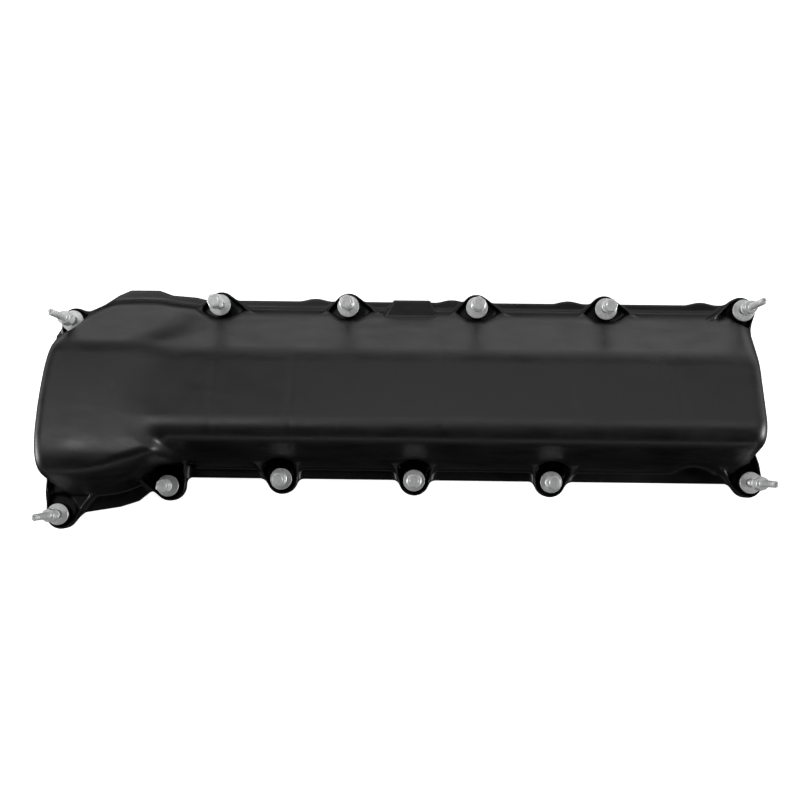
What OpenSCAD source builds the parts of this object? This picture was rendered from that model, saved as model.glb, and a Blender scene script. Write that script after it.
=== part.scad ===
// Moulded cover for one bank of an overhead-camshaft engine, with its seal,
// its isolated hold-down bolts and four bolts that carry a stud on their heads.
// X runs along the bank, +Y is the side of the long slope, +Z points away from
// the sealing face, which is the plane z = 0.

/* [Dome] */
// Height of the control line of the ridge above the sealing face
ridge_h = 83; // [70:1:90]
// Height of the control line over the timing end, where the dome is taller
timing_h = 94; // [90:0.5:104]
// Wall thickness of the moulding
wall = 3; // [2:0.5:4]
// Radius along the ridge
ridge_r = 14; // [10:1:24]
// Radius where the long slope meets the roof
roof_r = 25; // [10:1:30]
// Radius of the edges over the end walls
end_r = 14; // [8:1:18]

/* [Flange] */
// Height of the flange's underside above the sealing face
seal_gap = 1.5; // [1:0.5:2]
// Height of the flange's top
flange_top = 8; // [7:0.5:10]
// Width of the groove and its seal
seal_w = 4; // [3:0.5:4]
// Depth of the groove
seal_depth = 3; // [2:0.5:4]

/* [Bosses] */
// Radius of the bosses on the slope side
slope_boss_r = 12; // [11:0.5:13]
// Radius of the bosses on the steep side
steep_boss_r = 12.6; // [11.6:0.5:13.6]
// Thickness of the rim round each boss
rim = 1.8; // [1.2:0.2:2.2]
// Height of the rim
rim_top = 13; // [11:1:16]
// Height of the floor inside the rim
floor_top = 6; // [5:0.5:8]

/* [Hardware] */
// Major diameter of the thread, a little under its nominal 6 mm
thread_d = 5.94; // [5.8:0.01:5.98]
// Length under the head
grip = 31.5; // [30:0.5:32]
// Length of full thread
thread_len = 16; // [12:1:18]
// Hexagon across its flats
hex_af = 10; // [9:0.5:11]
// Height of the hexagon
hex_h = 6.6; // [5:0.2:8]
// Diameter of the flange under the hexagon
head_flange_d = 12.2; // [11.8:0.2:15]
// Diameter of the loose washers
washer_d = 17.6; // [16:0.2:18]
// Thickness of the loose washers
washer_t = 1.6; // [1:0.2:2]
// Height of the sleeves' upper end, which carries the washers
sleeve_top = 20; // [19:0.5:21]
// Length of the stud bolts from the flange's underside to the free tip
stud_reach = 45; // [40:1:50]

/* [Hidden] */
$fn = 48;
step = 0.01;

// Ends and sides of the dome, at the foot
timing_end = -286.5;
rear_end = 283.3;
slope_foot = 85.5;
steep_foot = -46;
slope_crease = [78.2, 19];
roof_corner_y = 44.5;
ridge_y = -23;
// The taller timing end reaches further out on both sides
timing_slope_foot = 93;
timing_steep_foot = -74;
timing_crease = [87, 17];
timing_roof_y = 45;
timing_ridge_y = -45;
timing_ridge_r = 24;
step_top_x = -224;
step_run = 1.7;
step_foot_z = 40;
// How far the rounded ridge lies under its control line
ridge_drop = 4.5;
// Where the long part starts, and how far the timing end is carried into it
long_start = -232;
timing_reach = -120;
// Half the width of the blocks that the outlines are cut from
half_width = 150;
dome_foot_z = flange_top - 1;
// Lip along the steep foot: [y, z] of its section, and where it starts and ends
FOOT_LIP = [[-47.5, dome_foot_z], [-47.5, 12], [-45.5, 15], [-43.2, 20], [-41.5, 26], [-38, 26], [-38, dome_foot_z]];
foot_lip_x = [-172, 281];

// Bolt positions: the slope side, the steep side, then the four corners
slope_y = 86.1;
slope_x0 = -152.5;
slope_pitch = 105.6;
steep_y = -55.9;
SLOPE = [for (i = [0:3]) [slope_x0 + i * slope_pitch, slope_y]];
STEEP = [[-192.2, -62.6], [-99.8, steep_y], [8.7, steep_y], [120.2, steep_y]];
CORNER = [[-273.3, 71.5], [-281.8, -86.9], [276.4, slope_y], [281.8, -54.4]];

// How far each bolt stands up, where it was left, above its washer
slope_lift = [21.5, 22, 20.5, 16];
steep_lift = [13, 11, 12, 10.5];
corner_lift = [15.5, 14.5, 12, 22.5];

// Room cleared in the dome beside each bolt: radius, and where its centre lies
SLOPE_ROOM = [22, [1, 11]];
clear_z = 120;

// Hollow in the steep side's foot, which clears a boss of the cylinder head
HOLLOW = [238, -69.5];
hollow_r = 33;

// Each boss: centre, radius, where its two side walls run to from the centre, its room
BOSSES = concat(
    [for (p = SLOPE) [p, slope_boss_r, [-28.5, -13], [37.4, -13], SLOPE_ROOM]],
    [
        [STEEP[0], steep_boss_r, [-38, 16], [14, 26], [22, [-3, -5]]],
        [STEEP[1], steep_boss_r, [-24.9, 22], [14, 22], [20, [-2, -3]]],
        [STEEP[2], steep_boss_r, [-18.1, 22], [18.1, 22], [20, [0, -3]]],
        [STEEP[3], steep_boss_r, [-14, 22], [24.9, 22], [20, [2, -3]]],
        [CORNER[0], slope_boss_r, [-10, -26], [24, -2], [20.2, [-8, 8]]],
        [CORNER[1], steep_boss_r, [-10, 40], [34, 24], [14.5, [-2, 2]]],
        [CORNER[2], slope_boss_r, [-32, -12], [4, -26], [22, [8, 8]]],
        [CORNER[3], steep_boss_r, [-26, 14], [4, 26], [14, [1, 1.5]]],
    ]
);

// Rubber and steel inside a boss
bush_r = 4.5;
bore_r = 6.5;
bulb_r = 7.8;
lip_r = 7.6;
lip_z = 3.2;
sleeve_bore_r = 3.05;
sleeve_foot = 0.6;
washer_hole_r = 3.5;
head_flange_t = 1.2;
shank_d = 5.3;
collar_d = 10.4;
collar_h = 3.6;
pin_d = 5.4;
chamfer = 0.8;
seat_z = sleeve_top + washer_t;

// The slope side's straight edge
slope_edge = 91.8;

// Outline of the flange without its bosses, going round from the timing end
FLANGE = [
    [-291, -84], [-291, 60], [-280, 76], [-262, 82], [-251, 87], [-239, 95],
    [-229, 99.5], [-205, 99.5], [-194, 95.5], [-174, 94], [-165, slope_edge],
    [286, slope_edge], [286, -56], [-205, -56], [-207, -66], [-219, -76], [-234, -81],
    [-264, -86], [-281, -94],
];
// Low lobes on the slope side's edge: centre along X, radius
LOBES = [-74.7, 38.6, 134.9, 244.2];
lobe_r = 16;
lobe_reach = 2;
// The raised pad on the slope side, between the second and the third bolt
PAD = [[-9.7, 92], [20.3, 92], [28, 74], [-20, 74]];

// Inner edge of the flange: the sealing land ends here
land = 6;
INNER = [
    [-283, -60], [-283, 40], [-257, 68], [-240, 82], [-228, 87], [-200, 87],
    [-176, 72], [262, 72], [276, 62], [276, -34], [266, -40.5], [-172, -40.5],
    [-178, -44], [-216, -50], [-240, -62], [-266, -66],
];

// Ribs inside the roof
RIBS = [-150, -88, 30, 130, 215];
rib_t = 2.4;
rib_h = 7;

// ---- plane geometry

function unit(v) = v / norm(v);

// Direction from the origin to where a line from p touches a circle of radius r round it
function touch(p, r, side) = atan2(p.y, p.x) + side * acos(r / norm(p));

// Points of an arc that rounds the corner b of the path a, b, c
function corner_arc(a, b, c, r, n) =
    let (
        u = unit(a - b),
        v = unit(c - b),
        half = acos(u * v) / 2,
        centre = b + unit(u + v) * r / sin(half),
        first = b + u * r / tan(half) - centre,
        last = b + v * r / tan(half) - centre,
        start = atan2(first.y, first.x),
        turn = atan2(first.x * last.y - first.y * last.x, first * last)
    )
    [for (i = [0:n]) centre + r * [cos(start + turn * i / n), sin(start + turn * i / n)]];

// Closed outline moved inwards by t along its corner bisectors
function inset(path, t) =
    let (n = len(path))
    [for (i = [0:n - 1])
        let (
            u = unit(path[i] - path[(i + n - 1) % n]),
            v = unit(path[(i + 1) % n] - path[i]),
            nu = [u.y, -u.x],
            nv = [v.y, -v.x]
        )
        path[i] + (nu + nv) * t / (1 + nu * nv)];

// Cross-section of the dome: [y, z], clockwise from the steep foot, down to z = base
function section(foot, side, crease, roof_y, top_y, top_z, top_r, base) =
    let (
        wall_dir = unit([top_y, top_z] - [foot, dome_foot_z]),
        low = [foot - wall_dir.x * (dome_foot_z - base) / wall_dir.y, base],
        ridge = [top_y, top_z],
        roof = [roof_y, crease.y + crease.x - roof_y],
        out = [side + (dome_foot_z - base) * (side - crease.x) / (crease.y - dome_foot_z), base]
    )
    concat(
        [low],
        corner_arc(low, ridge, roof, top_r, 10),
        corner_arc(ridge, roof, crease, roof_r, 5),
        [crease, out]
    );

function main_section(t) =
    inset(section(steep_foot, slope_foot, slope_crease, roof_corner_y, ridge_y, ridge_h,
        ridge_r, -t), t);
function timing_section(t) =
    inset(section(timing_steep_foot, timing_slope_foot, timing_crease, timing_roof_y,
        timing_ridge_y, timing_h, timing_ridge_r, -t), t);

// ---- solids of the dome

// A section carried along X
module along_x(path, x0, x1) {
    translate([x0, 0, 0]) rotate([90, 0, 90]) linear_extrude(x1 - x0) polygon(path);
}

// A side view carried along Y
module along_y(path) {
    translate([0, half_width, 0]) rotate([90, 0, 0])
        linear_extrude(2 * half_width) polygon(path);
}

// Side view of the long part, rounded over its rear end
module rear_profile(t) {
    end = rear_end - t;
    top = ridge_h + 5 - t;
    lean = 1;
    bend = ridge_h - ridge_drop - t;
    along_y(concat(
        [[long_start, -step], [long_start, top]],
        corner_arc([long_start, bend], [end - lean, bend], [end, 0], end_r - t / 2, 8),
        [[end, -step]]
    ));
}

// Side view of the timing end, rounded over its wall and sloping down to the long part
module timing_profile(t) {
    end = timing_end + t;
    bend = timing_h - ridge_drop - t;
    drop = bend - step_foot_z;
    along_y(concat(
        [[end, -step]],
        corner_arc([end, 0], [end + 2, bend], [step_top_x, bend], end_r + 4 - t / 2, 8),
        [[step_top_x - t / 2, bend], [step_top_x + drop * step_run - t / 2, step_foot_z],
            [step_top_x + drop * step_run - t / 2, -step]]
    ));
}

// Plan of the timing end
module timing_plan(t) {
    translate([0, 0, -1]) linear_extrude(clear_z) polygon(inset([
        [-282, -74], [-286.5, -48], [-288, -10], [-287, 25], [-284, 48], [-278, 60],
        [-266, 73], [-250, 86], [-236, 93], [-200, 93], [-174, 84], [-200, 56],
        [-192, 20], [-190, -20], [-180, -40], [-206, -54], [-224, -70], [-262, -74],
    ], t));
}

// The whole dome, moved in by t from its outer face
module dome(t) {
    intersection() {
        along_x(main_section(t), long_start, rear_end);
        rear_profile(t);
    }
    intersection() {
        along_x(timing_section(t), timing_end - 2, timing_reach);
        timing_profile(t);
        timing_plan(t);
    }
}

module foot_lip() {
    along_x(FOOT_LIP, foot_lip_x[0], foot_lip_x[1]);
}

// ---- bosses

// Plan of one boss with its two side walls, drawn in by t: from the end of one wall,
// round the far side of the boss, to the end of the other wall
module boss_plan(b, t) {
    r = b[1] - t;
    a = b[2] * (1 - t / 20);
    c = b[3] * (1 - t / 20);
    side = (a.x * c.y - a.y * c.x > 0) ? 1 : -1;
    start = touch(a, r, -side);
    turn = -side * ((side * (start - touch(c, r, side)) + 720) % 360);
    n = 16;
    translate(b[0]) polygon(concat(
        [a],
        [for (i = [0:n]) r * [cos(start + turn * i / n), sin(start + turn * i / n)]],
        [c]
    ));
}

module bosses() {
    for (b = BOSSES)
        translate([0, 0, seal_gap]) linear_extrude(rim_top - seal_gap) boss_plan(b, 0);
}

// The room beside a bolt, grown by t
module room(b, t) {
    translate(b[0] + b[4][1]) circle(b[4][0] + t);
}

// The room inside each rim, cut up through the dome
module pockets() {
    for (b = BOSSES)
        translate([0, 0, floor_top]) linear_extrude(clear_z) intersection() {
            boss_plan(b, rim);
            room(b, 0);
        }
}

// Columns the inside of the dome stays out of, so that each pocket keeps a wall
module pocket_backs() {
    translate([0, 0, -1]) linear_extrude(clear_z) {
        for (b = BOSSES) room(b, wall);
        translate(HOLLOW) circle(hollow_r + wall);
    }
}

module bores() {
    for (b = BOSSES) translate([b[0].x, b[0].y, 0]) {
        cylinder(h = clear_z / 2, r = bore_r);
        cylinder(h = lip_z, r = lip_r + 0.4);
    }
}

// ---- the moulding

module flange() {
    translate([0, 0, seal_gap]) linear_extrude(flange_top - seal_gap) {
        polygon(FLANGE);
        for (x = LOBES) translate([x, slope_edge + lobe_reach - lobe_r]) circle(lobe_r);
    }
    translate([0, 0, seal_gap]) linear_extrude(rim_top + 1 - seal_gap) polygon(PAD);
}

module rib_slabs() {
    for (x = RIBS)
        translate([x - rib_t / 2, -60, 20]) cube([rib_t, 140, clear_z]);
}

module hollow() {
    difference() {
        intersection() {
            dome(wall);
            translate([0, 0, -1]) linear_extrude(clear_z) polygon(INNER);
        }
        pocket_backs();
        difference() {
            rib_slabs();
            dome(wall + rib_h);
        }
    }
    translate([0, 0, -1]) linear_extrude(flange_top) difference() {
        polygon(INNER);
        for (b = BOSSES) room(b, wall);
        translate(HOLLOW) circle(hollow_r + wall);
    }
}

module cover_shell() {
    color("#26272a") difference() {
        union() {
            difference() {
                union() {
                    dome(0);
                    foot_lip();
                }
                translate([-400, -200, -2]) cube([800, 400, 2 + seal_gap + 1]);
                translate([0, 0, flange_top]) linear_extrude(clear_z)
                    translate(HOLLOW) circle(hollow_r);
            }
            flange();
            bosses();
        }
        hollow();
        pockets();
        bores();
        translate([0, 0, -1]) linear_extrude(1 + seal_gap + seal_depth) seal_ring();
    }
}

// ---- the seal

module seal_ring() {
    difference() {
        polygon(inset(INNER, -land + 1));
        polygon(inset(INNER, -land + 1 + seal_w));
    }
}

module perimeter_seal() {
    color("#5b6f8c") linear_extrude(seal_gap + seal_depth) seal_ring();
}

// ---- what sits in each boss

// Rubber bush: a bulb under the washer, a neck through the bore and a lip below
module grommet(p) {
    color("#1a1b1d") translate([p.x, p.y, 0]) rotate_extrude() polygon([
        [bush_r, seal_gap], [lip_r, seal_gap], [lip_r, lip_z], [bore_r, lip_z],
        [bore_r, floor_top], [bulb_r, floor_top], [bulb_r, sleeve_top - chamfer],
        [bulb_r - chamfer, sleeve_top], [bush_r, sleeve_top],
    ]);
}

// Steel sleeve that limits how far the bush is squeezed
module sleeve(p) {
    color("#a9adb2") translate([p.x, p.y, sleeve_foot]) difference() {
        cylinder(h = sleeve_top - sleeve_foot, r = bush_r);
        translate([0, 0, -1]) cylinder(h = sleeve_top + 2, r = sleeve_bore_r);
    }
}

module washer(p) {
    color("#c2c5c8") translate([p.x, p.y, sleeve_top]) difference() {
        cylinder(h = washer_t, d = washer_d);
        translate([0, 0, -1]) cylinder(h = washer_t + 2, r = washer_hole_r);
    }
}

// Threaded shank, flange and hexagon, with the flange's underside at z = 0
module bolt_body() {
    translate([0, 0, -grip]) {
        cylinder(h = chamfer, d1 = thread_d - 2 * chamfer, d2 = thread_d);
        translate([0, 0, chamfer]) cylinder(h = thread_len - chamfer, d = thread_d);
    }
    translate([0, 0, thread_len - grip]) cylinder(h = grip - thread_len, d = shank_d);
    cylinder(h = head_flange_t, d = head_flange_d);
    translate([0, 0, head_flange_t]) rotate(15)
        cylinder(h = hex_h, d = hex_af / cos(30), $fn = 6);
}

module bolt(p, lift) {
    color("#c8cacc") translate([p.x, p.y, seat_z + lift]) bolt_body();
}

// The same bolt with a collar and a stud on its head
module stud_bolt(p, lift) {
    collar_z = head_flange_t + hex_h;
    color("#c8cacc") translate([p.x, p.y, seat_z + lift]) {
        bolt_body();
        translate([0, 0, collar_z]) cylinder(h = collar_h, d = collar_d);
        translate([0, 0, collar_z + collar_h])
            cylinder(h = stud_reach - chamfer - collar_z - collar_h, d = pin_d);
        translate([0, 0, stud_reach - chamfer])
            cylinder(h = chamfer, d1 = pin_d, d2 = pin_d - 2 * chamfer);
    }
}

cover_shell();
perimeter_seal();
for (i = [0:3]) {
    grommet(SLOPE[i]);
    grommet(STEEP[i]);
    grommet(CORNER[i]);
    sleeve(SLOPE[i]);
    sleeve(STEEP[i]);
    sleeve(CORNER[i]);
    washer(SLOPE[i]);
    washer(STEEP[i]);
    washer(CORNER[i]);
    bolt(SLOPE[i], slope_lift[i]);
    bolt(STEEP[i], steep_lift[i]);
    stud_bolt(CORNER[i], corner_lift[i]);
}
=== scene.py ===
# Looks for a moulded cam cover with its captive bolts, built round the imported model.
# Mesh code works in millimetres and hands over metres.
import math
import bpy
import numpy as np
from mathutils import Matrix, Vector


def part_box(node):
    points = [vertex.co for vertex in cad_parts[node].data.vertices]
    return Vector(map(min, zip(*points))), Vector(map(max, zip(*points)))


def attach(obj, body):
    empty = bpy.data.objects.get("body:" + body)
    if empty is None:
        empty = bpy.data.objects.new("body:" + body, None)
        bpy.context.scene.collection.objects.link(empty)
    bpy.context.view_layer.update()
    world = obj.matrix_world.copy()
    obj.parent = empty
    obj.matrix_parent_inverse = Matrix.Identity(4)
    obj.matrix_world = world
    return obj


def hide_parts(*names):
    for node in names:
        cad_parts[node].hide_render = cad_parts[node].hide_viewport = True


mm = 0.001
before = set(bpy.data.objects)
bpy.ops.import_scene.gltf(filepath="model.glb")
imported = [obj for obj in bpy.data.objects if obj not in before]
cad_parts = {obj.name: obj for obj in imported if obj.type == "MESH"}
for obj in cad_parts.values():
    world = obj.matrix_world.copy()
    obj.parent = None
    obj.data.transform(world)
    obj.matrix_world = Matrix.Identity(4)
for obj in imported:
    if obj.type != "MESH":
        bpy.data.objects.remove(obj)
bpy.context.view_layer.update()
sides = ("slope", "steep", "corner")


def middle(node):
    low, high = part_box(node)
    return tuple((low[i] + high[i]) / 2 / mm for i in range(3))


def boltName(side, number):
    return f"stud_bolt_{number}" if side == "corner" else f"bolt_{side}_{number}"


# ---- camera

cameraLook = {
    "place": (9.35, -40.85, 1000.0),
    "aim": (-3.76, 10.66, 0.0),
    "roll": 0.7,      # degrees
    "lens": 54.0,
}


def addCamera(look):
    data = bpy.data.cameras.new("camera")
    data.lens = look["lens"]
    data.clip_start, data.clip_end = 0.01, 20
    camera = bpy.data.objects.new("camera", data)
    bpy.context.scene.collection.objects.link(camera)
    place, aim = Vector(look["place"]) * mm, Vector(look["aim"]) * mm
    back = (place - aim).normalized()
    right = Vector((0, 1, 0)).cross(back).normalized()
    up = back.cross(right)
    turn = math.radians(look["roll"])
    rolled = right * math.cos(turn) + up * math.sin(turn)
    camera.matrix_world = Matrix.Translation(place) @ Matrix((
        (*rolled, 0), (*back.cross(rolled), 0), (*back, 0), (0, 0, 0, 1))).transposed()
    bpy.context.scene.camera = camera


addCamera(cameraLook)
print("camera placed")

# ---- materials


def linear(hexColour):
    parts = [int(hexColour[i:i + 2], 16) / 255 for i in (1, 3, 5)]
    return (*[c / 12.92 if c <= 0.04045 else ((c + 0.055) / 1.055) ** 2.4 for c in parts], 1)


def addNode(tree, kind, links=None, **settings):
    node = tree.nodes.new(kind)
    for key, value in settings.items():
        if key.startswith("in_"):
            socket = key[3:]
            socket = int(socket) if socket.isdigit() else socket.replace("_", " ")
            node.inputs[socket].default_value = value
        else:
            setattr(node, key, value)
    for socket, source in (links or {}).items():
        tree.links.new(source, node.inputs[socket])
    return node


def newMaterial(name):
    material = bpy.data.materials.new(name)
    material.use_nodes = True
    tree = material.node_tree
    tree.nodes.clear()
    shader = addNode(tree, "ShaderNodeBsdfPrincipled")
    addNode(tree, "ShaderNodeOutputMaterial", {"Surface": shader.outputs[0]})
    place = addNode(tree, "ShaderNodeTexCoord").outputs["Object"]
    return material, tree, shader, place


def rampBetween(tree, source, low, high, dark, light):
    ramp = addNode(tree, "ShaderNodeValToRGB", {"Fac": source})
    first, last = ramp.color_ramp.elements
    first.position, first.color = low, linear(dark)
    last.position, last.color = high, linear(light)
    return ramp.outputs["Color"]


def blackNylon():   # glass fibre nylon off a fine spark-eroded mould: satin, faintly clouded
    material, tree, shader, place = newMaterial("moulded glass filled nylon")
    look = {"grainMm": 0.9, "cloudMm": 38, "fibreMm": 9, "scuffMm": 16, "scuffsAcross": 6,
            "patchMm": 60, "scuffShare": (0.42, 0.5), "scuffColour": "#18181a", "grainHeight": 0.035,
            "dark": "#09090a", "light": "#111112", "roughness": (0.36, 0.5)}
    cloud = addNode(tree, "ShaderNodeTexNoise", {"Vector": place}, in_Scale=1000 / look["cloudMm"],
                    in_Detail=5, in_Roughness=0.62)
    along = addNode(tree, "ShaderNodeMapping", {"Vector": place}, in_Scale=(0.35, 1, 1))
    fibre = addNode(tree, "ShaderNodeTexNoise", {"Vector": along.outputs[0]},
                    in_Scale=1000 / look["fibreMm"], in_Detail=4)     # flow of the melt along the bank
    mixed = addNode(tree, "ShaderNodeMath", {0: cloud.outputs["Fac"], 1: fibre.outputs["Fac"]},
                    operation="ADD")
    half = addNode(tree, "ShaderNodeMath", {0: mixed.outputs[0]}, operation="MULTIPLY", in_1=0.5)
    colour = rampBetween(tree, half.outputs[0], 0.38, 0.66, look["dark"], look["light"])
    # pale hair scuffs from handling
    stretch = addNode(tree, "ShaderNodeMapping", {"Vector": place}, in_Scale=(1, 0.12, 1),
                      in_Rotation=(0, 0, 0.5))
    scuff = addNode(tree, "ShaderNodeTexNoise", {"Vector": stretch.outputs[0]},
                    in_Scale=1000 / look["scuffMm"] * look["scuffsAcross"], in_Detail=2)
    patch = addNode(tree, "ShaderNodeTexNoise", {"Vector": place}, in_Scale=1000 / look["patchMm"],
                    in_Detail=1)
    both = addNode(tree, "ShaderNodeMath", {0: scuff.outputs["Fac"], 1: patch.outputs["Fac"]},
                   operation="MULTIPLY")
    mark = addNode(tree, "ShaderNodeMapRange", {"Value": both.outputs[0]},
                   in_1=look["scuffShare"][0], in_2=look["scuffShare"][1])
    pale = addNode(tree, "ShaderNodeMix", {0: mark.outputs[0], 6: colour}, data_type="RGBA")
    pale.inputs[7].default_value = linear(look["scuffColour"])
    tree.links.new(pale.outputs[2], shader.inputs["Base Color"])
    gloss = addNode(tree, "ShaderNodeMapRange", {"Value": half.outputs[0]}, in_1=0.35, in_2=0.65)
    gloss.inputs[3].default_value, gloss.inputs[4].default_value = look["roughness"]
    tree.links.new(gloss.outputs[0], shader.inputs["Roughness"])
    # real spark texture is about 0.1 mm, drawn at 0.9 mm so that it still shows
    grain = addNode(tree, "ShaderNodeTexNoise", {"Vector": place}, in_Scale=1000 / look["grainMm"],
                    in_Detail=3)
    bump = addNode(tree, "ShaderNodeBump", {"Height": grain.outputs["Fac"]}, in_Strength=1.0,
                   in_Distance=look["grainHeight"] * mm)
    tree.links.new(bump.outputs["Normal"], shader.inputs["Normal"])
    shader.inputs["Specular IOR Level"].default_value = 0.46
    return material


def zincPlate():    # electroplated and passivated steel: dull silver, mottled, a little powdery
    material, tree, shader, place = newMaterial("zinc plated steel")
    mottle = addNode(tree, "ShaderNodeTexNoise", {"Vector": place}, in_Scale=1000 / 2.6, in_Detail=5,
                     in_Roughness=0.65)
    colour = rampBetween(tree, mottle.outputs["Fac"], 0.32, 0.68, "#bbbdbd", "#d8d9d7")
    tree.links.new(colour, shader.inputs["Base Color"])
    gloss = addNode(tree, "ShaderNodeMapRange", {"Value": mottle.outputs["Fac"]}, in_1=0.3, in_2=0.7)
    gloss.inputs[3].default_value, gloss.inputs[4].default_value = 0.55, 0.38
    tree.links.new(gloss.outputs[0], shader.inputs["Roughness"])
    grain = addNode(tree, "ShaderNodeTexNoise", {"Vector": place}, in_Scale=1000 / 0.5, in_Detail=2)
    bump = addNode(tree, "ShaderNodeBump", {"Height": grain.outputs["Fac"]}, in_Strength=1.0,
                   in_Distance=0.015 * mm)
    tree.links.new(bump.outputs["Normal"], shader.inputs["Normal"])
    shader.inputs["Metallic"].default_value = 0.45
    return material


def turnedSteel():  # sleeves parted off bar stock: bright but grey, with soft bands round them
    material, tree, shader, place = newMaterial("plain turned steel")
    waveScale = 62.5    # bands about 5 mm apart, coarser than real tool marks
    rings = addNode(tree, "ShaderNodeTexWave", {"Vector": place}, in_Scale=waveScale,
                    in_Distortion=0.4, bands_direction="Z")
    colour = rampBetween(tree, rings.outputs["Fac"], 0.2, 0.8, "#7f8083", "#97989a")
    tree.links.new(colour, shader.inputs["Base Color"])
    bump = addNode(tree, "ShaderNodeBump", {"Height": rings.outputs["Fac"]}, in_Strength=1.0,
                   in_Distance=0.01 * mm)
    tree.links.new(bump.outputs["Normal"], shader.inputs["Normal"])
    shader.inputs["Metallic"].default_value = 1.0
    shader.inputs["Roughness"].default_value = 0.35
    return material


def mouldedRubber(name, dark, light, roughness):    # matt, with a bloom of mould release
    material, tree, shader, place = newMaterial(name)
    bloom = addNode(tree, "ShaderNodeTexNoise", {"Vector": place}, in_Scale=1000 / 6, in_Detail=4)
    colour = rampBetween(tree, bloom.outputs["Fac"], 0.35, 0.7, dark, light)
    tree.links.new(colour, shader.inputs["Base Color"])
    pores = addNode(tree, "ShaderNodeTexNoise", {"Vector": place}, in_Scale=1000 / 0.6, in_Detail=2)
    bump = addNode(tree, "ShaderNodeBump", {"Height": pores.outputs["Fac"]}, in_Strength=1.0,
                   in_Distance=0.03 * mm)
    tree.links.new(bump.outputs["Normal"], shader.inputs["Normal"])
    shader.inputs["Roughness"].default_value = roughness
    shader.inputs["Specular IOR Level"].default_value = 0.3
    return material


finishes = {
    "cover": blackNylon(), "zinc": zincPlate(), "steel": turnedSteel(),
    "bush": mouldedRubber("black nitrile rubber", "#070707", "#101010", 0.75),
    "seal": mouldedRubber("blue grey silicone rubber", "#3c4a5c", "#4b5a6e", 0.6),
}


def wear(obj, material):
    obj.data.materials.clear()
    obj.data.materials.append(material)


print("finishes mixed")

# ---- the moulding, as one smooth field that is negative inside the plastic

grid = {"pitch": 1.0, "low": (-296.3, -101.3, 0.35), "high": (296.3, 101.3, 90.0)}

dome = {
    # cross-section corners (y, z) from the steep foot to the slope foot, and the blend at each bend
    "corners": [(-46, 7), (-23, 82.9), (44.5, 52.7), (78.2, 19), (85.5, 7)],
    "bends": [19, 3, 1.5],
    "rearEnd": (283.3, 0.006), "rearBend": 13,      # place of the foot, lean
    "wall": 3.0, "foot": 2.5,
    "lip": (-47.5, -1.0, 30.0), "lipEdge": 1.2, "lipEnds": (-172, 281),     # foot lip: y, base, flare
    "ribs": [-150, -88, 30, 130, 215], "ribHalf": 1.2, "ribDepth": 7.0,
    "sink": 0.12, "sinkWidth": 2.6,                 # faint hollows over the ribs
    "panel": (-74, 26, -22, 58), "panelRise": 0.16, "panelSoft": 8,
    "notch": (238.0, -69.5, 33.0), "notchBend": 6,  # hollow in the steep foot: x, y, radius
}
timing = {
    "corners": [(-74, 7), (-50, 92), (0, 79), (45, 59), (87, 17), (93, 7)],
    "bends": [26, 24, 3, 1.5],
    "plan": [(-262, -75), (-278, -73), (-284.5, -56), (-287.5, -20), (-287.5, 15), (-285, 45),
             (-279, 60), (-266, 73.5), (-250, 86), (-238, 93), (-203, 93.5), (-192, 89.5),
             (-174, 86.5), (-150, 85.5), (-100, 85), (-100, -38), (-180, -40), (-206, -54),
             (-224, -70)],
    "lean": 0.012, "wallBend": 9,
    # trims the foot of the steep corner: a point, the way it faces, the blend
    "cut": ((-219, -66, 12), (0.35, -0.9, 0.25), 9),
    # where the drop to the long dome starts and how far it runs, along y
    "dropY": [-56, -45, -33, -27, -14, -2, 12, 28, 46, 54, 66, 83, 95],
    "dropStart": [-172, -178, -191, -200, -211, -219, -225, -223, -217, -213, -192, -175, -166],
    "dropRun": [8, 10, 12, 14, 18, 21, 24, 26, 27, 26, 24, 20, 18],
    "dropSoft": 0.5,
    "reach": -120.0,
}
flange = {
    "outline": [(-291, -84), (-291, 60), (-280, 76), (-262, 82), (-251, 87), (-239, 95),
                (-229, 99.5), (-205, 99.5), (-194, 95.5), (-174, 94), (-165, 91.8), (286, 91.8),
                (286, -56), (-205, -56), (-207, -66), (-219, -76), (-234, -81), (-264, -86),
                (-281, -94)],
    "lobes": [-74.7, 38.6, 134.9, 244.2], "lobeRadius": 16, "lobeY": 77.8,
    "bottom": 1.5, "top": 8.0, "edge": 1.2, "footFillet": 2.5,
    "pad": [(-9.7, 92), (20.3, 92), (28, 74), (-20, 74)], "padTop": 19,
    "land": [(-283, -60), (-283, 40), (-257, 68), (-240, 82), (-228, 87), (-200, 87), (-176, 72),
             (262, 72), (276, 62), (276, -34), (266, -40.5), (-172, -40.5), (-178, -44),
             (-216, -50), (-240, -62), (-266, -66)],
    "grooveMiddle": 3.0, "grooveHalf": 2.0, "grooveTop": 4.5,
}
boss = {
    "rim": 1.9, "top": 12.5, "rise": 6.5, "riseOver": 14, "floor": 6.0, "floorBend": 2.5,
    "join": {"slope": 1.5, "steep": 5.0, "corner": 3.0}, "rimEdge": 1.1,
    "brow": {"slope": 5.0, "steep": 5.0, "corner": 1.5}, "draft": 0.03,
    "bore": 6.5, "recess": 8.0, "recessTop": 3.2, "backWall": 3.0,
}
slopeRoom = (22, 1, 11)     # cleared in the dome beside a bolt: radius, centre
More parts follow.
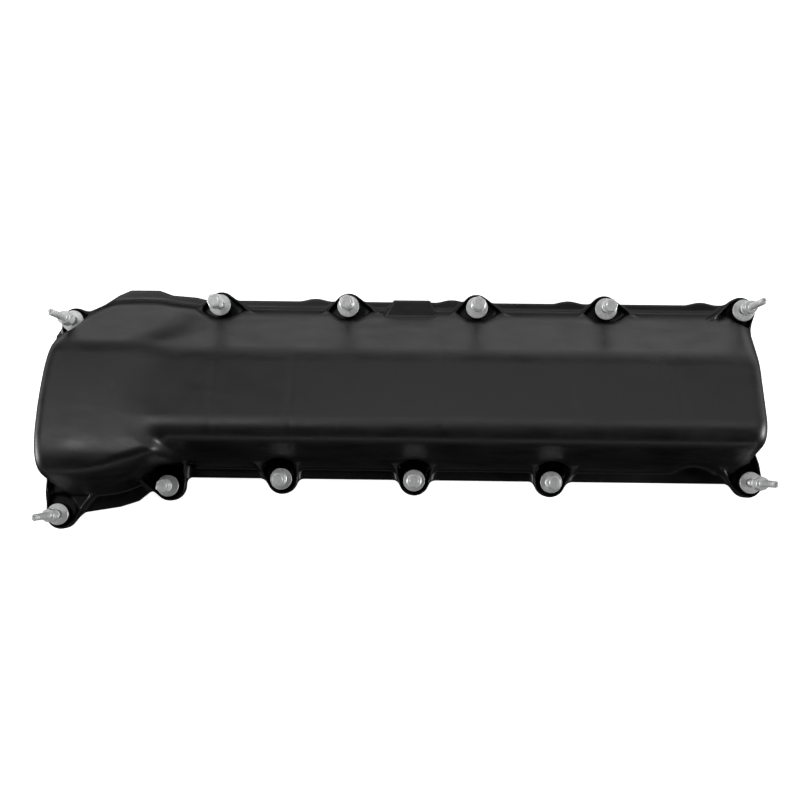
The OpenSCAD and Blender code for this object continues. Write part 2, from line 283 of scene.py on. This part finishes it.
bossPlans = [   # bolt group and number, radius, ends of the two side walls, room, way out
    ("slope", 1, 12, (-28.5, -13), (37.4, -13), slopeRoom, (0, 1)),
    ("slope", 2, 12, (-28.5, -13), (37.4, -13), slopeRoom, (0, 1)),
    ("slope", 3, 12, (-28.5, -13), (37.4, -13), slopeRoom, (0, 1)),
    ("slope", 4, 12, (-28.5, -13), (37.4, -13), slopeRoom, (0, 1)),
    ("steep", 1, 12.6, (-38, 16), (14, 26), (22, -3, -5), (0.2, -0.98)),
    ("steep", 2, 12.6, (-24.9, 22), (14, 22), (20, -2, -3), (0, -1)),
    ("steep", 3, 12.6, (-18.1, 22), (18.1, 22), (20, 0, -3), (0, -1)),
    ("steep", 4, 12.6, (-14, 22), (24.9, 22), (20, 2, -3), (0, -1)),
    ("corner", 1, 12, (-10, -26), (24, -2), (20.2, -8, 8), (-0.7, 0.7)),
    ("corner", 2, 12.6, (-10, 40), (34, 24), (14.5, -2, 2), (-0.4, -0.9)),
    ("corner", 3, 12, (-32, -12), (4, -26), (22, 8, 8), (0.7, 0.7)),
    ("corner", 4, 12.6, (-26, 14), (4, 26), (14, 1, 1.5), (0.3, -0.95)),
]


def blendMin(a, b, reach):
    overlap = np.maximum(reach - np.abs(a - b), 0)
    return np.minimum(a, b) - overlap * overlap / (4 * reach)


def blendMax(a, b, reach):
    return -blendMin(-a, -b, reach)


def sectionField(look, y, z):
    planes = []
    for a, b in zip(look["corners"], look["corners"][1:]):
        dy, dz = b[0] - a[0], b[1] - a[1]
        planes.append(((z - a[1]) * dy - (y - a[0]) * dz) / math.hypot(dy, dz))
    field = planes[0]
    for plane, bend in zip(planes[1:], look["bends"]):
        field = blendMax(field, plane, bend)
    return field


def roundCorners(points, times):
    for _ in range(times):
        following = points[1:] + points[:1]
        points = [tuple(p[i] * (1 - t) + q[i] * t for i in (0, 1))
                  for p, q in zip(points, following) for t in (0.25, 0.75)]
    return points


def outlineField(points, x, y):     # distance to a closed outline in plan, negative inside
    nearest = np.full(np.broadcast(x, y).shape, 1e9, np.float32)
    inside = np.zeros(nearest.shape, bool)
    for (ax, ay), (bx, by) in zip(points, points[1:] + points[:1]):
        ex, ey = bx - ax, by - ay
        along = np.clip(((x - ax) * ex + (y - ay) * ey) / (ex * ex + ey * ey), 0, 1)
        nearest = np.minimum(nearest, (x - ax - along * ex) ** 2 + (y - ay - along * ey) ** 2)
        if ay != by:
            inside ^= ((ay > y) != (by > y)) & (x < ax + (y - ay) * ex / ey)
    return np.where(inside, -1, 1) * np.sqrt(nearest)


def bossOutline(radius, first, last):
    def touch(end, side):
        turn = math.acos(radius / math.hypot(*end))
        return math.atan2(end[1], end[0]) + side * turn
    side = 1 if first[0] * last[1] - first[1] * last[0] > 0 else -1
    start = touch(first, -side)
    sweep = -side * ((side * (start - touch(last, side))) % (2 * math.pi))
    arc = [start + sweep * i / 24 for i in range(25)]
    return [first] + [(radius * math.cos(a), radius * math.sin(a)) for a in arc] + [last]


def ease(t):
    t = np.clip(t, 0, 1)
    return t * t * (3 - 2 * t)


def window(value, low, high, soft):
    return ease((value - low) / soft + 0.5) * ease((high - value) / soft + 0.5)


def domeField(x, y, z):
    foot, lean = dome["rearEnd"]
    field = blendMax(sectionField(dome, y, z), x - foot + lean * z, dome["rearBend"])
    nx, ny, radius = dome["notch"]
    scoop = radius - np.hypot(x - nx, y - ny) + 0.1 * (flange["top"] - z)
    field = blendMax(field, scoop, dome["notchBend"])
    chest = x[:, 0, 0] < timing["reach"]
    cx = x[chest]
    part = sectionField(timing, y, z)
    plan = outlineField(roundCorners(timing["plan"], 3), cx[:, :, 0], y[:, :, 0])[:, :, None]
    part = blendMax(part, plan + timing["lean"] * (z - 7), timing["wallBend"])
    (px, py, pz), way, bend = timing["cut"]
    plane = ((cx - px) * way[0] + (y - py) * way[1] + (z - pz) * way[2]) / math.hypot(*way)
    part = blendMax(part, plane, bend)
    soft = np.hanning(15)
    spread = []
    for key in ("dropStart", "dropRun"):
        table = np.pad(np.interp(y.ravel(), timing["dropY"], timing[key]), 7, "edge")
        spread.append(np.convolve(table, soft / soft.sum(), "valid")[None, :, None])
    share = blendMax((cx - spread[0]) / spread[1], 0, timing["dropSoft"])
    share = blendMin(share, 1, timing["dropSoft"])
    field[chest] = part * (1 - share) + field[chest] * share
    x0, x1, y0, y1 = dome["panel"]
    field -= dome["panelRise"] * window(x, x0, x1, dome["panelSoft"]) \
        * window(y, y0, y1, dome["panelSoft"])
    for rib in dome["ribs"]:
        field += dome["sink"] * np.exp(-((x - rib) / dome["sinkWidth"]) ** 2)
    return field.astype(np.float32)


def shellField(x, y, z):
    skin = domeField(x, y, z)
    x2, y2 = x[:, :, 0], y[:, :, 0]
    edge = outlineField(flange["outline"], x2, y2)
    for lobe in flange["lobes"]:
        edge = blendMin(edge, np.hypot(x2 - lobe, y2 - flange["lobeY"]) - flange["lobeRadius"], 4)
    middleZ, half = (flange["top"] + flange["bottom"]) / 2, (flange["top"] - flange["bottom"]) / 2
    slab = blendMax(edge[:, :, None], np.abs(z - middleZ) - half, flange["edge"])
    lipY, lipZ, flare = dome["lip"]
    ends = np.maximum(dome["lipEnds"][0] - x, x - dome["lipEnds"][1])
    lip = blendMax(blendMin(skin, z - lipZ, flare), lipY - y, dome["lipEdge"])
    lip = np.maximum(lip, np.maximum(blendMax(y, ends, 8), dome["foot"] - z))
    outer = blendMin(np.minimum(np.maximum(skin, dome["foot"] - z), lip), slab, flange["footFillet"])
    pad = outlineField(flange["pad"], x2, y2)[:, :, None]
    pad = blendMax(pad, np.maximum(z - flange["padTop"], flange["bottom"] - z), 1.2)
    outer = blendMin(outer, pad, 1.5)

    land = outlineField(flange["land"], x2, y2)[:, :, None]
    room = blendMax(skin + dome["wall"], land, 2)
    for rib in dome["ribs"]:
        near = np.abs(x[:, 0, 0] - rib) < 6
        solid = np.maximum(np.abs(x[near] - rib) - dome["ribHalf"],
                           -(skin[near] + dome["wall"] + dome["ribDepth"]))
        room[near] = blendMax(room[near], -solid, 1.5)
    room = np.minimum(room, np.maximum(land, z - flange["top"]))
    nx, ny, radius = dome["notch"]
    room = blendMax(room, radius + dome["wall"] - np.hypot(x - nx, y - ny), 2)

    finish = []
    for side, number, radius, first, last, (roomR, roomX, roomY), out in bossPlans:
        bx, by, _ = middle(boltName(side, number))
        nearX = np.flatnonzero(np.abs(x[:, 0, 0] - bx) < 48)
        nearY = np.flatnonzero(np.abs(y[0, :, 0] - by) < 48)
        part = (slice(nearX[0], nearX[-1] + 1), slice(nearY[0], nearY[-1] + 1))
        dx, dy = x2[part[0]] - bx, y2[:, part[1]] - by
        plan = outlineField(bossOutline(radius, first, last), dx, dy)[:, :, None]
        clear = (np.hypot(dx - roomX, dy - roomY) - roomR)[:, :, None]
        inwards = -(dx * out[0] + dy * out[1])[:, :, None]
        top = boss["top"] + boss["rise"] * ease(inwards / boss["riseOver"])
        block = blendMax(plan, np.maximum(z - top, flange["bottom"] - z), boss["rimEdge"])
        inner = plan + boss["rim"] + boss["draft"] * (top - z)
        walls = blendMax(block, -np.maximum(inner, boss["floor"] - z), boss["rimEdge"])
        local = blendMin(outer[part], walls, boss["join"][side])
        pocket = blendMax(blendMax(inner, clear, 3), boss["floor"] - z, boss["floorBend"])
        brow = boss["brow"][side] - boss["rimEdge"]
        brow = boss["rimEdge"] + brow * ease((z - top + 1) / 4)
        outer[part] = blendMax(local, -pocket, brow)
        back = clear - boss["backWall"]
        room[part] = blendMax(room[part], -back, 2)
        axis = np.hypot(dx, dy)[:, :, None]
        bore = np.minimum(axis - boss["bore"],
                          np.maximum(axis - boss["recess"], z - boss["recessTop"]))
        finish.append((part, bore))

    shell = blendMax(outer, -room, 1.2)
    for part, bore in finish:
        shell[part] = blendMax(shell[part], -bore, 0.8)
    # the blends swell the underside, so it is cut flat
    shell = np.maximum(shell, flange["bottom"] - z)
    groove = np.abs(land - flange["grooveMiddle"]) - flange["grooveHalf"]
    return np.maximum(shell, -np.maximum(groove, z - flange["grooveTop"]))


def sample(field, points, low, pitch):      # trilinear value of a field between its grid points
    spot = (points - low) / pitch
    limit = np.array(field.shape) - 2
    cell = np.clip(np.floor(spot).astype(np.int64), 0, limit)
    t = spot - cell
    total = np.zeros(len(points))
    for corner in np.ndindex(2, 2, 2):
        weight = np.prod(np.where(corner, t, 1 - t), axis=1)
        total += weight * field[tuple((cell + corner).T)]
    return total


def slopeOf(field, points, low, pitch):
    step = 0.6 * pitch
    slope = np.empty_like(points)
    for axis in range(3):
        shift = np.zeros(3)
        shift[axis] = step
        ahead = sample(field, points + shift, low, pitch)
        slope[:, axis] = (ahead - sample(field, points - shift, low, pitch)) / (2 * step)
    return slope


def surfaceNet(field, low, pitch):      # one point in each cell the surface crosses, joined in quads
    inside = field < 0
    corners = list(np.ndindex(2, 2, 2))
    size = [n - 1 for n in field.shape]
    count = np.zeros(size, np.int8)
    for c in corners:
        count += inside[c[0]:c[0] + size[0], c[1]:c[1] + size[1], c[2]:c[2] + size[2]]
    cells = np.argwhere((count > 0) & (count < 8))
    values = np.stack([field[tuple((cells + c).T)] for c in corners], 1)
    total, hits = np.zeros((len(cells), 3)), np.zeros(len(cells))
    for i, a in enumerate(corners):
        for j, b in enumerate(corners):
            if j <= i or sum(abs(p - q) for p, q in zip(a, b)) != 1:
                continue
            va, vb = values[:, i], values[:, j]
            crossed = (va < 0) != (vb < 0)
            t = np.where(crossed, va / np.where(crossed, va - vb, 1), 0)[:, None]
            total += crossed[:, None] * (np.array(a) * (1 - t) + np.array(b) * t)
            hits += crossed
    points = low + pitch * (cells + total / hits[:, None])
    index = np.full(size, -1, np.int32)
    index[tuple(cells.T)] = np.arange(len(cells))
    quads = []
    for axis in range(3):
        u, v = (axis + 1) % 3, (axis + 2) % 3
        here = np.moveaxis(inside, axis, 0)
        crossing = np.moveaxis(here[:-1] != here[1:], 0, axis)
        edges = np.argwhere(crossing)
        edges = edges[(edges[:, u] > 0) & (edges[:, v] > 0)
                      & (edges[:, u] < size[u]) & (edges[:, v] < size[v])]
        ring = []
        for du, dv in ((0, 0), (-1, 0), (-1, -1), (0, -1)):
            cell = edges.copy()
            cell[:, u] += du
            cell[:, v] += dv
            ring.append(index[tuple(cell.T)])
        ring = np.stack(ring, 1)
        outwards = inside[tuple(edges.T)]
        ring[~outwards] = ring[~outwards][:, ::-1]
        quads.append(ring)
    return points, np.concatenate(quads)


def meshFrom(name, points, faces):
    mesh = bpy.data.meshes.new(name)
    mesh.vertices.add(len(points))
    mesh.vertices.foreach_set("co", points.astype(np.float32).ravel())
    mesh.loops.add(faces.size)
    mesh.loops.foreach_set("vertex_index", faces.astype(np.int32).ravel())
    mesh.polygons.add(len(faces))
    mesh.polygons.foreach_set("loop_start", np.arange(0, faces.size, faces.shape[1], dtype=np.int32))
    mesh.update(calc_edges=True)
    piece = bpy.data.objects.new(name, mesh)
    bpy.context.scene.collection.objects.link(piece)
    return piece


def applyModifiers(piece):
    graph = bpy.context.evaluated_depsgraph_get()
    done = bpy.data.meshes.new_from_object(piece.evaluated_get(graph))
    piece.modifiers.clear()
    old, piece.data = piece.data, done
    done.name = piece.name
    bpy.data.meshes.remove(old)


def gridAxes(look):
    axes = [np.arange(a, b, look["pitch"], dtype=np.float32)
            for a, b in zip(look["low"], look["high"])]
    return axes[0][:, None, None], axes[1][None, :, None], axes[2][None, None, :]


def fieldPiece(name, makeField, look, triangles):
    x, y, z = gridAxes(look)
    field = np.ascontiguousarray(np.broadcast_to(makeField(x, y, z), (x.size, y.size, z.size)))
    low, pitch = np.array([x.flat[0], y.flat[0], z.flat[0]], float), look["pitch"]
    points, faces = surfaceNet(field, low, pitch)
    piece = meshFrom(name, points * mm, faces)
    print(name, "net", len(faces), "quads")
    if len(faces) * 2 > triangles:
        thin = piece.modifiers.new("thin", "DECIMATE")
        thin.ratio = triangles / (2 * len(faces))
        applyModifiers(piece)
    mesh = piece.data
    points = np.empty(len(mesh.vertices) * 3, np.float32)
    mesh.vertices.foreach_get("co", points)
    points = points.reshape(-1, 3).astype(float) / mm
    for _ in range(2):      # back onto the true surface
        slope = slopeOf(field, points, low, pitch)
        size = np.maximum((slope ** 2).sum(1), 0.2)
        move = slope * (sample(field, points, low, pitch) / size)[:, None]
        points -= np.clip(move, -0.4, 0.4)
    mesh.vertices.foreach_set("co", (points * mm).astype(np.float32).ravel())
    slope = slopeOf(field, points, low, pitch)
    slope /= np.maximum(np.linalg.norm(slope, axis=1), 1e-6)[:, None]
    mesh.shade_smooth()
    mesh.normals_split_custom_set_from_vertices(slope.tolist())
    mesh.update()
    print(name, len(mesh.polygons), "faces")
    return piece


shell = fieldPiece("moulded_cover", shellField, grid, 190000)
wear(shell, finishes["cover"])
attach(shell, "root")
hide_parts("cover_shell")
print("cover moulded")

# ---- turned and rolled pieces: a half profile swept by a node tree, then set out on its places

fastener = {
    "segments": 48, "acrossFlats": 10.0, "pitch": 1.0, "threadDepth": 0.56, "sharpAngle": 0.45,
    "headHeight": 7.8, "studReach": 45.0,       # above the underside of the flange
}


def threadRows(low, high, radius, perTurn=6):
    count = int((high - low) / fastener["pitch"] * perTurn)
    rows = []
    for i in range(count + 1):
        z = low + (high - low) * i / count
        rows.append((radius, z, 0, min(1, i / perTurn, (count - i) / perTurn)))
    return rows


# rows of radius, height, share of hexagon, share of thread; heights from under the head
tipRows = [(0, -31.5), (2.2, -31.5), (2.9, -30.8)]
shankRows = threadRows(-30.7, -15.6, 2.97) + [(2.65, -15.2), (2.65, -0.4), (2.95, 0)]
headRows = [(5.7, 0), (6.1, 0.3), (6.1, 0.75), (5.6, 1.2), (5.35, 1.35, 1), (5.79, 1.5, 1),
            (5.79, 7.25, 1), (5.55, 7.42, 1), (5.3, 7.57, 1), (5.0, 7.75), (4.85, 7.8)]
boltProfile = tipRows + shankRows + headRows + [(3.5, 7.8), (3.2, 7.6), (0, 7.55)]
studProfile = tipRows + shankRows + headRows + [
    (4.6, 7.95), (5.1, 8.05), (5.2, 8.2), (5.2, 11.1), (4.9, 11.4), (3.1, 11.4), (2.7, 11.8),
    (2.7, 40.4), (2.45, 40.8), (2.45, 41.6), (2.7, 42.0), (2.7, 44.1), (2.4, 44.7), (1.9, 45),
    (1.1, 45), (0.7, 44.5), (0, 44.3)]
washerProfile = [(3.5, 20.2), (3.7, 20), (8.55, 20), (8.8, 20.3), (8.8, 21.2), (8.55, 21.55),
                 (8.2, 21.6), (3.8, 21.6), (3.5, 21.35), (3.5, 20.2)]
sleeveProfile = [(3.05, 0.9), (3.3, 0.6), (4.3, 0.6), (4.5, 0.8), (4.5, 19.8), (4.3, 20),
                 (3.3, 20), (3.05, 19.7), (3.05, 0.9)]
bushProfile = [(4.5, 1.5), (7.3, 1.5), (7.6, 1.8), (7.6, 2.95), (7.35, 3.2), (6.5, 3.2), (6.5, 6),
               (7.5, 6), (7.8, 6.4), (7.8, 9.2), (7.25, 10), (7.25, 11), (7.8, 11.8), (7.8, 14.4),
               (7.25, 15.2), (7.25, 16), (7.8, 16.8), (7.8, 19.3), (7.3, 20), (4.5, 20), (4.5, 1.5)]


def turnedTree():
    tree = bpy.data.node_groups.new("turned piece", "GeometryNodeTree")
    tree.interface.new_socket("Geometry", in_out="INPUT", socket_type="NodeSocketGeometry")
    for name, kind in (("Places", "Object"), ("Segments", "Int"), ("Across Flats", "Float"),
                       ("Pitch", "Float"), ("Thread Depth", "Float"), ("Finish", "Material")):
        tree.interface.new_socket(name, in_out="INPUT", socket_type="NodeSocket" + kind)
    tree.interface.new_socket("Geometry", in_out="OUTPUT", socket_type="NodeSocketGeometry")
    group = addNode(tree, "NodeGroupInput").outputs

    def maths(operation, a, b=0.0, c=0.0):
        links = {i: v for i, v in enumerate((a, b, c)) if not isinstance(v, (int, float))}
        node = addNode(tree, "ShaderNodeMath", links, operation=operation)
        for i, v in enumerate((a, b, c)):
            if isinstance(v, (int, float)):
                node.inputs[i].default_value = v
        return node.outputs[0]

    rows = addNode(tree, "GeometryNodeAttributeDomainSize", {"Geometry": group["Geometry"]},
                   component="MESH").outputs["Point Count"]
    columns = maths("ADD", group["Segments"], 1)
    net = addNode(tree, "GeometryNodeMeshGrid", {"Vertices X": columns, "Vertices Y": rows})
    index = addNode(tree, "GeometryNodeInputIndex").outputs[0]
    column = maths("FLOOR", maths("DIVIDE", maths("ADD", index, 0.5), rows))
    row = maths("SUBTRACT", index, maths("MULTIPLY", column, rows))

    def fromProfile(source, kind):
        node = addNode(tree, "GeometryNodeSampleIndex", {"Geometry": group["Geometry"],
                                                         "Index": row}, data_type=kind)
        tree.links.new(source, node.inputs["Value"])
        return node.outputs["Value"]

    def stored(name):
        node = addNode(tree, "GeometryNodeInputNamedAttribute", in_Name=name, data_type="FLOAT")
        return node.outputs["Attribute"]

    place = addNode(tree, "GeometryNodeInputPosition").outputs[0]
    split = addNode(tree, "ShaderNodeSeparateXYZ", {0: fromProfile(place, "FLOAT_VECTOR")}).outputs
    hexagon = fromProfile(stored("hexagon"), "FLOAT")
    thread = fromProfile(stored("thread"), "FLOAT")
    share = maths("DIVIDE", column, group["Segments"])
    angle = maths("MULTIPLY", share, 2 * math.pi)
    third = math.pi / 3
    across = maths("COSINE", maths("SUBTRACT", maths("FLOORED_MODULO", angle, third), third / 2))
    flat = maths("DIVIDE", maths("MULTIPLY", group["Across Flats"], 0.5), across)
    allowed = maths("ADD", flat, maths("SUBTRACT", 1, hexagon))
    radius = maths("MINIMUM", split[0], allowed)
    wave = maths("FRACT", maths("SUBTRACT", maths("DIVIDE", split[2], group["Pitch"]), share))
    wave = maths("ABSOLUTE", maths("SUBTRACT", maths("MULTIPLY", wave, 2), 1))
    cut = maths("MULTIPLY", maths("MULTIPLY", wave, thread), group["Thread Depth"])
    radius = maths("SUBTRACT", radius, cut)
    spot = addNode(tree, "ShaderNodeCombineXYZ", {
        0: maths("MULTIPLY", radius, maths("COSINE", angle)),
        1: maths("MULTIPLY", radius, maths("SINE", angle)), 2: split[2]}).outputs[0]
    swept = addNode(tree, "GeometryNodeSetPosition",
                    {"Geometry": net.outputs["Mesh"], "Position": spot})
    closed = addNode(tree, "GeometryNodeMergeByDistance", {"Geometry": swept.outputs[0]},
                     in_Distance=2e-6)
    places = addNode(tree, "GeometryNodeObjectInfo", {"Object": group["Places"]},
                     transform_space="RELATIVE").outputs["Geometry"]
    turn = addNode(tree, "ShaderNodeCombineXYZ", {2: stored("turn")}).outputs[0]
    copies = addNode(tree, "GeometryNodeInstanceOnPoints",
                     {"Points": places, "Instance": closed.outputs[0], "Rotation": turn})
    real = addNode(tree, "GeometryNodeRealizeInstances", {"Geometry": copies.outputs[0]})
    painted = addNode(tree, "GeometryNodeSetMaterial",
                      {"Geometry": real.outputs[0], "Material": group["Finish"]})
    addNode(tree, "NodeGroupOutput", {"Geometry": painted.outputs[0]})
    return tree


def pointMesh(name, points, **values):
    mesh = bpy.data.meshes.new(name)
    mesh.from_pydata([tuple(c * mm for c in p) for p in points], [], [])
    for key, numbers in values.items():
        mesh.attributes.new(key, "FLOAT", "POINT").data.foreach_set("value", numbers)
    piece = bpy.data.objects.new(name, mesh)
    bpy.context.scene.collection.objects.link(piece)
    return piece


def turnedPiece(name, profile, places, turns, finish):
    full = [(*row, 0, 0)[:4] for row in profile]
    piece = pointMesh(name, [(r, 0, z) for r, z, _, _ in full],
                      hexagon=[row[2] for row in full], thread=[row[3] for row in full])
    spots = pointMesh(name + "_places", places, turn=turns)
    sweep = piece.modifiers.new("sweep", "NODES")
    sweep.node_group = turned
    inputs = {"Places": spots, "Segments": fastener["segments"],
              "Across Flats": fastener["acrossFlats"] * mm, "Pitch": fastener["pitch"] * mm,
              "Thread Depth": fastener["threadDepth"] * mm, "Finish": finish}
    for item in turned.interface.items_tree:
        if item.in_out == "INPUT" and item.name in inputs:
            sweep[item.identifier] = inputs[item.name]
    applyModifiers(piece)
    bpy.data.objects.remove(spots)
    mesh = piece.data
    for key in [a.name for a in mesh.attributes if a.name in ("hexagon", "thread", "turn")]:
        mesh.attributes.remove(mesh.attributes[key])
    mesh.shade_smooth()
    mesh.set_sharp_from_angle(angle=fastener["sharpAngle"])
    return piece


turned = turnedTree()
order = [(side, number) for side in sides for number in range(1, 5)]
axes = [middle(f"washer_{side}_{number}")[:2] for side, number in order]
ringKinds = [("washers", "washer", washerProfile, "zinc", "zinc_steel"),
             ("sleeves", "sleeve", sleeveProfile, "steel", "sleeve_steel"),
             ("bushes", "grommet", bushProfile, "bush", "bush_rubber")]
for name, node, profile, finish, slot in ringKinds:
    ring = turnedPiece(name, profile, [(x, y, 0) for x, y in axes],
                       [0.7 * i for i in range(12)], finishes[finish])
    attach(ring, "root")
    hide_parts(*[f"{node}_{side}_{number}" for side, number in order])
    print(name, len(ring.data.polygons), "faces")

headTurns = {"slope": (0.2, 0.5, 0.45, 0.1), "steep": (0.35, 0.62, 0.9, 0.55),
             "corner": (0.3, 0.8, 0.15, 0.6)}
for (side, number), (x, y) in zip(order, axes):
    body = boltName(side, number)
    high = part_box(body)[1]
    stud = side == "corner"
    under = high[2] / mm - fastener["studReach" if stud else "headHeight"]
    piece = turnedPiece(body + "_detail", studProfile if stud else boltProfile, [(x, y, under)],
                        [headTurns[side][number - 1]], finishes["zinc"])
    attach(piece, body)
    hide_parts(body)
print("fasteners turned", len(piece.data.polygons), "faces each stud")

# ---- the seal, from the same field as its groove

seal = {"bottom": 0.0, "top": 4.5, "halfWidth": 1.95, "bead": 0.55, "beadPitch": 2.0,
        "grid": {"pitch": 0.8, "low": (-290.2, -90.2, -1.1), "high": (283.0, 94.0, 5.6)}}


def sealField(x, y, z):
    land = outlineField(flange["land"], x[:, :, 0], y[:, :, 0])[:, :, None]
    across = land - flange["grooveMiddle"]
    ridge = seal["bead"] * (0.5 - 0.5 * np.cos(2 * math.pi * across / seal["beadPitch"]))
    low = seal["bottom"] + ridge * ease((1.6 - np.abs(across)) / 0.4 + 0.5)
    field = blendMax(np.abs(across) - seal["halfWidth"], np.maximum(low - z, z - seal["top"]), 0.8)
    return field.astype(np.float32)


sealPiece = fieldPiece("bead_seal", sealField, seal["grid"], 90000)
wear(sealPiece, finishes["seal"])
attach(sealPiece, "root")
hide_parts("perimeter_seal")
print("seal moulded")

# ---- floor and light

studio = {
    "floorSize": 8.0,
    "floorColour": "#f4f4f4", "floorGlow": 0.95,
    "backdrop": 0.9,
    "lamps": [   # place, what it faces, size, power, in metres and watts
        {"name": "slopeSoftbox", "place": (0.6, 1.8, 0.16), "aim": (0.1, 0, 0),
         "size": (3.0, 0.3), "power": 6.5},
        {"name": "roofSoftbox", "place": (0.4, 1.25, 1.5), "aim": (0, 0, 0),
         "size": (1.6, 0.6), "power": 7},
        {"name": "timingSoftbox", "place": (-0.75, 0.8, 1.7), "aim": (-0.25, 0, 0),
         "size": (0.5, 0.6), "power": 9},
        {"name": "steepSoftbox", "place": (0, -1.8, 0.12), "aim": (0, 0, 0),
         "size": (3.0, 0.24), "power": 3.5},
        {"name": "leftSoftbox", "place": (-1.7, -0.1, 0.35), "aim": (0, 0, 0),
         "size": (0.8, 0.6), "power": 34},
        {"name": "rightSoftbox", "place": (1.7, -0.1, 0.35), "aim": (0, 0, 0),
         "size": (0.8, 0.6), "power": 36},
        {"name": "steepTable", "place": (0, -0.66, 0.002), "aim": (0, -0.66, 1),
         "size": (1.8, 0.9), "power": 1.0},
        {"name": "slopeTable", "place": (0, 0.62, 0.002), "aim": (0, 0.62, 1),
         "size": (1.8, 1.0), "power": 9},
    ],
}


def addStudio(look):
    half = look["floorSize"] / 2
    mesh = bpy.data.meshes.new("floor")
    mesh.from_pydata([(-half, -half, 0), (half, -half, 0), (half, half, 0), (-half, half, 0)], [],
                     [(0, 1, 2, 3)])
    floor = bpy.data.objects.new("floor", mesh)
    bpy.context.scene.collection.objects.link(floor)
    material, tree, shader, place = newMaterial("white light table")
    shader.inputs["Base Color"].default_value = linear(look["floorColour"])
    shader.inputs["Roughness"].default_value = 0.9
    shader.inputs["Emission Color"].default_value = (1, 1, 1, 1)
    shader.inputs["Emission Strength"].default_value = look["floorGlow"]
    wear(floor, material)
    floor.visible_diffuse = floor.visible_glossy = False    # its glow isn't cast on the cover
    world = bpy.data.worlds.new("studio")
    world.use_nodes = True
    world.node_tree.nodes["Background"].inputs["Color"].default_value = (1, 1, 1, 1)
    world.node_tree.nodes["Background"].inputs["Strength"].default_value = look["backdrop"]
    world.cycles_visibility.diffuse = world.cycles_visibility.glossy = False
    bpy.context.scene.world = world
    for lamp in look["lamps"]:
        data = bpy.data.lights.new(lamp["name"], "AREA")
        data.shape = "RECTANGLE"
        data.size, data.size_y = lamp["size"]
        data.energy = lamp["power"]
        light = bpy.data.objects.new(lamp["name"], data)
        bpy.context.scene.collection.objects.link(light)
        light.location = lamp["place"]
        light.visible_camera = False
        way = Vector(lamp["aim"]) - Vector(lamp["place"])
        light.rotation_euler = way.to_track_quat("-Z", "Y").to_euler()
    bpy.context.scene.view_settings.view_transform = "Standard"


addStudio(studio)
print("studio lit")
